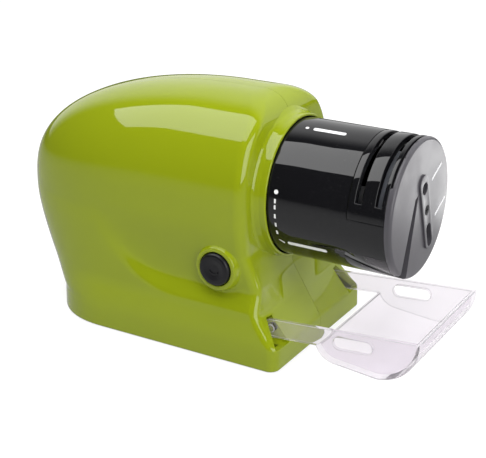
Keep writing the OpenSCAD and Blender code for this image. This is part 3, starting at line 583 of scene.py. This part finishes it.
def corner_radius(z):
    return np.minimum(0.75 * half_width(z), table(z, (PLINTH_Z, 4.5), (RIDGE_Z, 4), (RAMP_Z, 4.6), (45, 5)))


def rear(z):
    above = CREST_X + (REAR_X - CREST_X) * dome(z, BULGE_Z, CREST_Z, 2.32)
    below = REAR_X + 19.5 * np.clip((BULGE_Z - z) / (BULGE_Z - PLINTH_Z), 0, 1) ** 1.6
    return np.where(z > BULGE_Z, above, below)


def scoop(x, z):
    """How deep the side is hollowed above its ridge."""
    ridge = RIDGE_Z + 24 * np.clip((-38 - x) / 42, 0, 1) ** 2.5
    up = z - ridge
    fall = np.where(up < 10, ease(up / 10), 1 - ease((up - 10) / (60 - ridge - 10)))
    return np.where(up > 0, 3.2 * ease((x + 86) / 46) * fall, 0)


print("half width at the head axis:", float(half_width(np.array(AXIS_Z))))

# %% [markdown]
# At each height the outline has four stretches: across the nose, round the front corner, along the side
# and round the rear. The foot is tucked in a little, and the round boss for the button swells out of the
# right half. The result is one table of points, with a row for each height.

# %% Points of the skin
NOSE, CORNER, SIDE, REAR = 16, 14, 78, 44
BUTTON_X, BUTTON_Z, BOSS_R, BOSS_FACE = -18.6, 40.4, 9.2, 38.7
FOOT_R, REAR_POWER = 0.8, 2 / 2.25
QUARTER = math.pi / 2
levels = np.concatenate([FOOT_Z + FOOT_R * (1 - np.cos(np.linspace(0, QUARTER, 6)))[:-1],
                         np.linspace(FOOT_Z + FOOT_R, AXIS_Z, 96)[:-1],
                         AXIS_Z + (CREST_Z - AXIS_Z) * np.sin(np.linspace(0, QUARTER, 44))])


def with_boss(x, y, z):
    """Raise the side to a cone round the button, with a soft change from one to the other."""
    off = np.hypot(x - BUTTON_X, z - BUTTON_Z)
    cone = BOSS_FACE - 0.6 - 1.9 * np.maximum(0, off - BOSS_R + 0.6)
    soft = 0.5 * (y + cone + np.sqrt((y - cone) ** 2 + 1.2 ** 2))
    return np.where((off < 24) & (y > 20), y + (soft - y) * ease((20 - off) / 8), y)


def skin_points(boss):
    z = levels[:, None]
    w, r, back = half_width(z), corner_radius(z), rear(z)
    nose, cheek = front_mid(z), front_cheek(z)
    start = cheek - r
    run = (start - back) * table(z, (PLINTH_Z, 0.31), (BULGE_Z, 0.62))
    bend = back + run
    f = np.linspace(0, 1, NOSE + 1)
    a = np.linspace(0, QUARTER, CORNER + 1)[1:]
    s = np.linspace(0, 1, SIDE + 1)[1:]
    b = np.linspace(0, QUARTER, REAR + 1)[1:]
    x = np.hstack([nose + (cheek - nose) * f, start + r * np.cos(a), start + (bend - start) * s,
                   bend - run * np.sin(b) ** REAR_POWER])
    y = np.hstack([(w - r) * f, (w - r) + r * np.sin(a), w + 0 * s, w * np.clip(np.cos(b), 0, 1) ** REAR_POWER])
    y = y - scoop(x, z) * (y / w) ** 4
    dx, dy = np.gradient(x, axis=1), np.gradient(y, axis=1)
    size = np.hypot(dx, dy)
    low = np.clip(FOOT_Z + FOOT_R - z, 0, FOOT_R)
    tuck = FOOT_R - np.sqrt(FOOT_R ** 2 - low ** 2)
    x, y = x - tuck * dy / size, y + tuck * dx / size
    if boss:
        y = with_boss(x, y, z)
    return x, np.maximum(y, 0.08), z + 0 * x


print("levels:", len(levels))

# %% [markdown]
# A flat grid has exactly such rows and columns, so a grid is added and each of its points is moved to its
# place. The faces inside the boss are deleted, where the button goes through. The rims at the foot and the
# crest are filled, and Solidify gives the skin its wall.

# %% Halves of the housing
WALL, BUTTON_BORE = 2.2 * MM, 8.4 * MM


def shell_half(side, boss):
    """One half of the housing: side is -1 for the button's side and 1 for the other."""
    x, y, z = skin_points(boss)
    columns, rows = x.shape[1] - 1, x.shape[0] - 1
    take()
    bpy.ops.mesh.primitive_grid_add(x_subdivisions=columns, y_subdivisions=rows, size=2)
    half = bpy.context.object
    grid = np.array([v.co for v in half.data.vertices])
    i = np.rint((grid[:, 0] + 1) / 2 * columns).astype(int)
    j = np.rint((grid[:, 1] + 1) / 2 * rows).astype(int)
    spots = np.stack([COLLAR_X + x[j, i], side * y[j, i], z[j, i]], 1) * MM
    half.data.vertices.foreach_set("co", spots.ravel())
    if boss:
        button = at(BUTTON_X, 0, BUTTON_Z)
        pick(half, "FACE", lambda f: f.center.y < -0.02 and
             math.hypot(f.center.x - button.x, f.center.z - button.z) < BUTTON_BORE)
        bpy.ops.mesh.delete(type="FACE")
    for level in (FOOT_Z, CREST_Z):
        pick(half, "EDGE", lambda e: all(abs(half.data.vertices[k].co.z * 1000 - level) < 1e-3 for k in e.vertices))
        bpy.ops.mesh.edge_face_add()
    take(half)
    bpy.ops.object.mode_set(mode="EDIT")
    bpy.ops.mesh.select_all(action="SELECT")
    bpy.ops.mesh.normals_make_consistent(inside=False)
    bpy.ops.object.mode_set(mode="OBJECT")
    floor_face = min(half.data.polygons, key=lambda p: p.center.z)
    if floor_face.normal.z > 0:
        bpy.ops.object.mode_set(mode="EDIT")
        bpy.ops.mesh.flip_normals()
        bpy.ops.object.mode_set(mode="OBJECT")
    modify(half, "SOLIDIFY", thickness=WALL, offset=-1, use_even_offset=False)
    return half


right_half = shell_half(-1, True)
left_half = shell_half(1, False)
print("halves:", len(right_half.data.polygons), len(left_half.data.polygons), "faces")

# %% [markdown]
# The halves are cut as the moulder's tool leaves them: the round mouth for the head, the pocket for the
# battery door, seats for the feet and slots for the tray's arms. The far half also has five wells, down
# which the screws go that hold the halves together.

# %% Openings in the halves
HEAD, HEAD_AXIS = at(0, 0, AXIS_Z), (1, 0, 0)
TO_NEAR, TO_FAR, UP = (0, -1, 0), (0, 1, 0), (0, 0, 1)
MOUTH_R, FOOT_SEAT_R, WELL_R = 30.0, 5.65, 3.4
BAY_BACK, BAY_FRONT, BAY_HALF = -82.6, -22.7, 31.6
FEET = [(-2, 26), (-94, 22)]
WELLS = [(-106, 58), (-74, 82), (-96, 28), (-9, 27), (-44, 90)]
PIVOT_X, PIVOT_Z = 3.2, 15.5
ARM_IN, ARM_OUT, ARM_LOW, CHEEK_Y, CHEEK_RUN = 28.2, 30.8, 10.1, 30.4, 13.8


def arm_openings(side, more):
    """The slot and the round pocket for one arm, the bore for its pin, and the cheek cut back in front."""
    near, far = sorted((side * (ARM_IN - more), side * (ARM_OUT + more)))
    cheek = [(0.2 - more, CHEEK_Y), (14, CHEEK_Y), (14, CHEEK_Y + more + CHEEK_RUN * 0.79)]
    pivot = at(PIVOT_X, 0, PIVOT_Z)
    return [block(at(PIVOT_X, near, ARM_LOW - more), at(14, far, RAMP_Z + more)),
            rod(pivot, TO_FAR, 5.0 + more, near, far, 48),
            rod(pivot, (0, side, 0), 1.9 + more, 25.3, 29, 32),
            prism([at(x, side * y, ARM_LOW - more) for x, y in cheek], (0, 0, 0.0104 + 0.002 * more))]


def openings(side):
    tools = [rod(HEAD, HEAD_AXIS, MOUTH_R, -20, 8, 144),
             block(at(BAY_BACK, -BAY_HALF, -2), at(BAY_FRONT, BAY_HALF, 4))]
    tools += arm_openings(side, 0.08)
    tools += [rod(at(x, side * y, 0), UP, FOOT_SEAT_R, -1, 1.6, 48) for x, y in FEET]
    if side > 0:
        tools += [rod(at(x, 0, z), TO_FAR, WELL_R, 24, 44, 48) for x, z in WELLS]
    return tools


cut(right_half, *openings(-1))
cut(left_half, *openings(1))
fit(right_half, "housing_right_half", "housing", "housing_green", "right_housing", angle=32)
fit(left_half, "housing_left_half", "housing", "housing_green", "left_housing", angle=32)

# %% [markdown]
# A shell is hollow, and a slot in it would show an empty inside. The nose is a thick moulding in fact, so a
# solid core with the same slots goes in behind its skin.

# %% Core of the nose
CORE = [(-8, 3), (9.6, 3), (9.6, 10.2), (6.4, 13.4), (-1.4, 22), (-4.6, 32), (-8, 32)]
CORE_HALF = 32.6
core = prism([at(x, -CORE_HALF, z) for x, z in CORE], (0, 2 * CORE_HALF * MM, 0))
cut(core, *arm_openings(-1, 0), *arm_openings(1, 0))
soften(core, 0.2, 2, 50)
fit(core, "nose_core", "housing", "housing_green")

# %% [markdown]
# Round the mouth stands a drafted ring that hides the gap between the housing and the head. It is turned
# from one outline: a thin rounded lip in front, a cone behind it, and a small fillet into the wall. The
# boss round the button has a crisp turned rim of its own.

# %% Collar ring and button boss
ring = turned(rounded([(29.3, 0, 0.3), (30.4, 0, 0.5), (30.5, -2.8, 2.0), (31.3, -4.9, 1.6), (33.0, -6.5, 0),
                       (33.0, -8.0, 0), (29.3, -8.0, 0)]), HEAD, HEAD_AXIS, 216)
fit(ring, "collar_ring", "housing", "housing_green")
boss = turned(rounded([(7.4, 30, 0), (7.4, BOSS_FACE, 0.35), (BOSS_R, BOSS_FACE, 0.8), (10.4, BOSS_FACE - 2.4, 0),
                       (10.4, 30, 0)]), at(BUTTON_X, 0, BUTTON_Z), TO_NEAR, 120)
fit(boss, "button_boss", "housing", "housing_green")

# %% [markdown]
# Each well in the far half ends in a tube, with a seat at its bottom for the screw's head. One outline
# is turned once for each place, so that each tube has its own mesh. Rays from outside find the wall round
# each well, and the tube stops inside the lowest of them.

# %% Screw tubes
TUBE_R, SCREW_R, SEAT_Y = 4.6, 1.8, 5


def wall_at(x, z):
    turns = np.linspace(0, 2 * math.pi, 8, endpoint=False)
    starts = [at(x + 5 * math.cos(a), 90, z + 5 * math.sin(a)) for a in turns]
    return min(left_half.ray_cast(p, TO_NEAR)[1].y for p in starts) * 1000 - 0.6


tubes = []
for x, z in WELLS:
    end = wall_at(x, z)
    tubes.append(turned(rounded([(SCREW_R, 0.3, 0), (TUBE_R, 0.3, 0), (TUBE_R, end, 0), (WELL_R, end, 0),
                                 (WELL_R, SEAT_Y, 0.3), (SCREW_R, SEAT_Y, 0)]), at(x, 0, z), TO_FAR, 48))
    print("well at", x, z, "ends at", round(end, 1))
fit(joined(tubes), "screw_tubes", "housing", "housing_green")

# %% [markdown]
# ## The push button
# A dark, satin cap with a rounded edge and a shallow dish for the thumb. A small raised crescent in the
# dish tells the thumb where the middle is.

# %% Button
middle = at(BUTTON_X, 0, BUTTON_Z)
button = turned(rounded([(0, 28.0, 0), (8.6, 28.0, 0.2), (8.6, 29.3, 0.2), (7.1, 29.3, 0), (7.1, 40.1, 1.3),
                         (4.6, 40.1, 3.0), (2.4, 39.6, 3.0), (0, 39.55, 0)]), middle, TO_NEAR, 120)
stem = turned(rounded([(0, 24.0, 0), (2.4, 24.0, 0.3), (2.4, 28.4, 0), (0, 28.4, 0)]), middle, TO_NEAR, 48)
cut(button, stem, keep="UNION")
fit(button, "thumb_button", "button", "button_plastic", "push_button")
turns = np.radians(np.linspace(200, 330, 13))
outer = [(2.3 * math.cos(a), 2.3 * math.sin(a)) for a in turns]
inner = [(2.05 * math.cos(a), 2.05 * math.sin(a) + 0.5) for a in turns[::-1]]
crescent = plate([at(BUTTON_X + x, -39.7, BUTTON_Z + z) for x, z in outer + inner], 0.5 * MM)
fit(crescent, "button_crescent", "button", "button_plastic")

# %% [markdown]
# ## The head
# The drum and the knife guide are both cut from a tube. An open cylinder is added with a ring of edges at
# each place that matters, and faces are then deleted by their distance from the collar and their angle
# from the top. The slanted slot for scissors is cut with one slab.

# %% Sheets for the head
DRUM_R, DRUM_END, GUIDE_START, FACE_X, FACETS = 29.0, 51.4, 35.2, 54.2, 288


def tube_sheet(stations):
    """An open cylinder about the head axis, with an edge ring at each station along X."""
    take()
    bpy.ops.mesh.primitive_cylinder_add(vertices=FACETS, radius=DRUM_R * MM, depth=1, end_fill_type="NOTHING",
                                        location=at(0.5 * (stations[0] + stations[-1]), 0, AXIS_Z),
                                        rotation=(0, math.pi / 2, 0))
    sheet = bpy.context.object
    sheet.scale.z = (stations[-1] - stations[0]) * MM
    bpy.ops.object.transform_apply(location=True, rotation=True, scale=True)
    for station in stations[1:-1]:
        pick(sheet, "FACE", lambda f: True)
        bpy.ops.mesh.bisect(plane_co=at(station, 0, AXIS_Z), plane_no=HEAD_AXIS)
    take(sheet)
    return sheet


def polar(point):
    """Distance from the collar plane and angle from the top, of a place on the drum."""
    return point.x * 1000 - COLLAR_X, abs(math.degrees(math.atan2(point.y, point.z - AXIS_Z * MM)))


def drop_faces(sheet, rule):
    pick(sheet, "FACE", lambda f: rule(*polar(f.center)))
    bpy.ops.mesh.delete(type="FACE")
    take(sheet)


def scissors_tool(slant, width):
    """The slab that cuts the scissors slot: turned about the head, and slanted to its axis in the drum."""
    tool = block(Vector((-24, -width / 2, -60)) * MM, Vector((10, width / 2, 0)) * MM)
    turn = Matrix.Rotation(math.radians(-23), 4, "X") @ Matrix.Rotation(math.radians(slant), 4, "Z")
    tool.data.transform(Matrix.Translation(at(FACE_X, -3.7, AXIS_Z + 4.7)) @ turn)
    return tool


print("head axis at", [round(v, 4) for v in HEAD])

# %% [markdown]
# The drum is a glossy black tube. Its top is notched near the end, and the guide fills that notch with two
# slots for knives. Each sheet gets its wall from Solidify, and then its edges are softened.

# %% Drum and knife guide
drum = tube_sheet([-5.6, 10, 22, GUIDE_START, 43, DRUM_END])
drop_faces(drum, lambda x, turn: x > GUIDE_START and turn < 87.5)
modify(drum, "SOLIDIFY", thickness=2.4 * MM, offset=-1)
cut(drum, scissors_tool(30, 2.8))
soften(drum, 0.25, 3, 45)
fit(drum, "head_drum_shell", "head", "head_black", "head_drum")

SLOTS = [(38.2, 41.0), (46.8, 49.6)]
guide = tube_sheet([GUIDE_START + 0.15, *SLOTS[0], *SLOTS[1], DRUM_END - 0.05])
drop_faces(guide, lambda x, turn: turn > 87 or (turn < 73.5 and any(low < x < high for low, high in SLOTS)))
modify(guide, "SOLIDIFY", thickness=3.2 * MM, offset=-1)
soften(guide, 0.35, 3, 45)
fit(guide, "knife_guide_insert", "head", "head_black", "knife_guide")

# %% [markdown]
# The end cap closes the drum with a softly rounded rim. Over the knife guide its edge is set back, so that
# a dark groove is left there. It is turned, and the groove, the scissors slot and the two holes for
# screwdrivers are cut out of it.

# %% End cap
PLATE_Y, PLATE_Z, PLATE_TURN = 4.7, -2.1, math.radians(17.5)
GROOVE_R, OUTSIDE_R = 27.2, 32


def on_bar(along, across=0.0):
    """A place on the bar of the end face: up from its screw and sideways, as (y, z) from the head axis."""
    s, c = math.sin(PLATE_TURN), math.cos(PLATE_TURN)
    return PLATE_Y - along * s + across * c, PLATE_Z + along * c + across * s


def on_face(x, places):
    return [at(x, y, AXIS_Z + z) for y, z in places]


def face_rod(along, radius, low, high):
    return rod(on_face(0, [on_bar(along)])[0], HEAD_AXIS, radius, low, high, 64)


def driver_hole_tools(low, high):
    ends = [on_bar(-12.4 + a, b) for a, b in ((-3.2, -2.3), (3.2, -2.3), (3.2, 2.3), (-3.2, 2.3))]
    slab = prism(on_face(low, ends), ((high - low) * MM, 0, 0))
    return [face_rod(10.6, 2.6, low, high), face_rod(-9.2, 2.3, low, high), face_rod(-15.6, 2.3, low, high), slab]


cap = turned(rounded([(0, DRUM_END, 0), (DRUM_R, DRUM_END, 0), (DRUM_R, FACE_X, 1.4), (0, FACE_X, 0)], 8),
             HEAD, HEAD_AXIS, FACETS)
groove = turned([(GROOVE_R, DRUM_END - 1), (OUTSIDE_R, DRUM_END - 1), (OUTSIDE_R, DRUM_END + 1),
                 (GROOVE_R, DRUM_END + 1)], HEAD, HEAD_AXIS, 144)
cut(groove, block(at(DRUM_END - 2, -40, AXIS_Z - 40),
                  at(DRUM_END + 2, 40, AXIS_Z + DRUM_R * math.cos(math.radians(58)))))
mouth = prism(on_face(DRUM_END - 2, [(-3.0, 6.6), (-5.9, 5.4), (-18.6, -27.0), (-12.4, -29.6)]), (8 * MM, 0, 0))
cut(cap, groove, mouth, *driver_hole_tools(DRUM_END - 2, FACE_X + 2))
soften(cap, 0.2, 2, 50)
fit(cap, "end_cap", "head", "head_black", "head_end_cap", material="cap_satin")
satin_faces.objects.link(cap)

# %% [markdown]
# The bar on the end face steadies screwdriver tips. It is a flat strip with round ends, a round hole, a
# long hole and a small screw. Its outline is drawn, filled, pulled up to its thickness and softened.

# %% Driver bar and screw
BAR_R, BAR_TOP, BAR_BOTTOM = 3.8, 16.6, -19.0
half_round = [math.radians(t) for t in range(0, 181, 10)]
outline = [on_bar(BAR_TOP - BAR_R + BAR_R * math.sin(t), BAR_R * math.cos(t)) for t in half_round]
outline += [on_bar(BAR_BOTTOM + BAR_R - BAR_R * math.sin(t), -BAR_R * math.cos(t)) for t in half_round]
bar = prism(on_face(FACE_X - 0.05, outline), (0.85 * MM, 0, 0))
cut(bar, *driver_hole_tools(FACE_X - 1, FACE_X + 3), face_rod(0, 2.15, FACE_X + 0.4, FACE_X + 3))
soften(bar, 0.25, 3, 45)
fit(bar, "driver_bar", "head", "head_black", "driver_plate", material="cap_satin")
satin_faces.objects.link(bar)
y, z = on_bar(0)
screw = turned(rounded([(0, FACE_X - 3, 0), (1.3, FACE_X - 3, 0.2), (1.3, FACE_X + 0.4, 0), (2.0, FACE_X + 0.4, 0),
                        (2.0, FACE_X + 0.8, 0.2), (0, FACE_X + 0.85, 0)]), at(0, y, AXIS_Z + z), HEAD_AXIS, 48)
for a, b in ((1.2, 0.24), (0.24, 1.2)):
    cut(screw, block(at(FACE_X + 0.5, y - a, AXIS_Z + z - b), at(FACE_X + 3, y + a, AXIS_Z + z + b)))
fit(screw, "bar_screw", "head", "head_screw", "plate_screw")

# %% [markdown]
# ## White marks
# Thin white prints show how far the head is turned: a dot and a bar for each setting, and a dashed arc
# between them. Each print is a flat outline that is laid on the drum point by point.

# %% Prints on the drum
DEGREE = DRUM_R * math.pi / 180
PAINT, LIFT = 0.06 * MM, 0.03


def drum_patch(points):
    """A print with an outline of (x, way round the drum), both in millimetres."""
    r = DRUM_R + LIFT
    turns = [(x, math.radians(s / DEGREE)) for x, s in points]
    return plate([at(x, -r * math.sin(t), AXIS_Z + r * math.cos(t)) for x, t in turns], PAINT)


def disc(x, turn, r):
    return drum_patch([(x + r * math.cos(a), turn * DEGREE + r * math.sin(a))
                       for a in np.linspace(0, 2 * math.pi, 20, endpoint=False)])


def strip(x0, x1, turn, half):
    soft = half * 0.9
    corners = rounded([(x0, -half, soft), (x1, -half, soft), (x1, half, soft), (x0, half, soft)])
    return drum_patch([(x, turn * DEGREE + s) for x, s in corners])


prints = [disc(6.5, 15, 0.75), strip(9.4, 23.9, 15, 0.95), disc(3.9, 77, 0.95)]
for t in (84.5, 89.5, 97.3, 105.2, 112.9):
    prints.append(drum_patch([(x, t * DEGREE + s) for x, s in ((3.3, -0.9), (4.1, -0.9), (4.1, 0.9), (3.3, 0.9))]))
prints.append(drum_patch([(x, t * DEGREE) for x, t in ((3.4, 121.5), (4.2, 121.5), (6.0, 123.8), (5.6, 125.2))]))
prints.append(strip(7.3, 25.1, 123.6, 0.95))
fit(joined(prints), "drum_prints", "head", "head_black", material="white_print")

# %% [markdown]
# Two short strokes are the only marks on the end face. Each is a thin print with four corners.

# %% Prints on the end face
def stroke(y0, z0, y1, z1, half):
    """Corners of a straight stroke between two places, a little longer than their distance."""
    a, b = Vector((y0, z0)), Vector((y1, z1))
    along = (b - a).normalized() * half
    side = Vector((-along.y, along.x))
    return [a - along * 0.5 + side, b + along * 0.5 + side, b + along * 0.5 - side, a - along * 0.5 - side]


strokes = [plate(on_face(FACE_X + 0.02, stroke(*ends)), PAINT)
           for ends in ((19.4, 13.5, 10.3, 9.2, 0.55), (25.1, -3.1, 15.8, -7.7, 0.55))]
fit(joined(strokes), "face_prints", "head", "head_black", material="white_print")

# %% [markdown]
# ## The swarf tray
# A clear scoop hangs on two arms in front of the nose and catches the grinding dust. Its side view is drawn
# in the tray's own frame, with the pivot at the origin: two arcs for the floor, and a slot with round ends.

# %% Side view of the tray
TILT = math.radians(4.2)
TRAY_HALF, TRAY_WALL, ARM_R, PIN_R = 30.4, 1.8, 4, 1.8
SLOT_X, SLOT_Z, SLOT_R, SLOT_HALF = 37.2, -1.45, 2.65, 6.1


def tray_place(x, y, z):
    """From the tray's own frame, with its pivot at the origin, to the frame."""
    return at(PIVOT_X + x * math.cos(TILT) - z * math.sin(TILT), y, PIVOT_Z + x * math.sin(TILT) + z * math.cos(TILT))


def arc(cx, cz, r, first, last, steps):
    return [(cx + r * math.cos(a), cz + r * math.sin(a)) for a in np.radians(np.linspace(first, last, steps + 1))]


def floor_line(inset):
    return arc(30.2, -1, 10 - inset, -162.54, -98, 14) + arc(47.6, 5, 19 - inset, -90, -3.02, 24)


slot = arc(SLOT_X + SLOT_HALF, SLOT_Z, SLOT_R, -90, 90, 12) + arc(SLOT_X - SLOT_HALF, SLOT_Z, SLOT_R, 90, 270, 12)
print("tray floor:", len(floor_line(0)), "points, slot:", len(slot), "points")

# %% [markdown]
# The floor is one curved strip between the walls, and each wall is pulled from the side view. Their edges
# are softened first, and the softened faces get a pale grey finish, a painted highlight for the light that
# clear edges catch. Then all are joined into a single solid, because clear plastic shows every inner face.

# %% Tray
def slab_of(outline, low, high):
    """Fill an outline of the tray's side view and pull it across from one Y to another."""
    return prism([tray_place(x, low, z) for x, z in outline], (0, (high - low) * MM, 0))


def with_edge_highlight(piece, width):
    for name in ("tray_clear", "tray_edge_highlight"):
        piece.data.materials.append(finishes[name])
    # The softened faces take the second finish, a pale grey painted highlight along the clear edges.
    soften(piece, width, 2, 35, material=1)
    return piece


reach = TRAY_HALF - TRAY_WALL / 2
tray = with_edge_highlight(slab_of(floor_line(0) + floor_line(TRAY_WALL)[::-1], -reach, reach), 0.4)
for side in (-1, 1):
    low = min(side * TRAY_HALF, side * (TRAY_HALF - TRAY_WALL))
    wall = slab_of(arc(0, 0, ARM_R, 90, 270, 20) + floor_line(0), low, low + TRAY_WALL)
    cut(wall, slab_of(slot, low - 1, low + TRAY_WALL + 1))
    pin = rod(at(PIVOT_X, 0, PIVOT_Z), (0, side, 0), PIN_R, TRAY_HALF - 4.8, TRAY_HALF + 0.25, 40)
    cut(with_edge_highlight(wall, 0.4), with_edge_highlight(pin, 0.3), keep="UNION", touching=True)
    cut(tray, wall, keep="UNION", touching=True)
fit(tray, "clear_tray", "tray", "tray_clear", "swarf_tray")

# %% [markdown]
# ## What stays as it came
# The inner pieces, the battery door, the screws and the feet are right as they are. They keep their
# meshes and get a finish, each by the slot that the record names for it.

# %% Finishes for the other solids
shown = {row["node"]: row["material_slot"] for row in frame["record"]["subparts"]}
for name, solid in nodes.items():
    if not solid.hide_render:
        solid.data.materials.clear()
        solid.data.materials.append(finishes[shown[name]])
print("kept solids:", sum(not solid.hide_render for solid in nodes.values()))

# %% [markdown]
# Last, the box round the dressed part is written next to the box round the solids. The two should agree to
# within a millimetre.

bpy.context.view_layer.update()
for label, box in (("solids", cad_box), ("pieces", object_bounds())):
    print("box of the", label, [[round(v, 4) for v in c] for c in box])
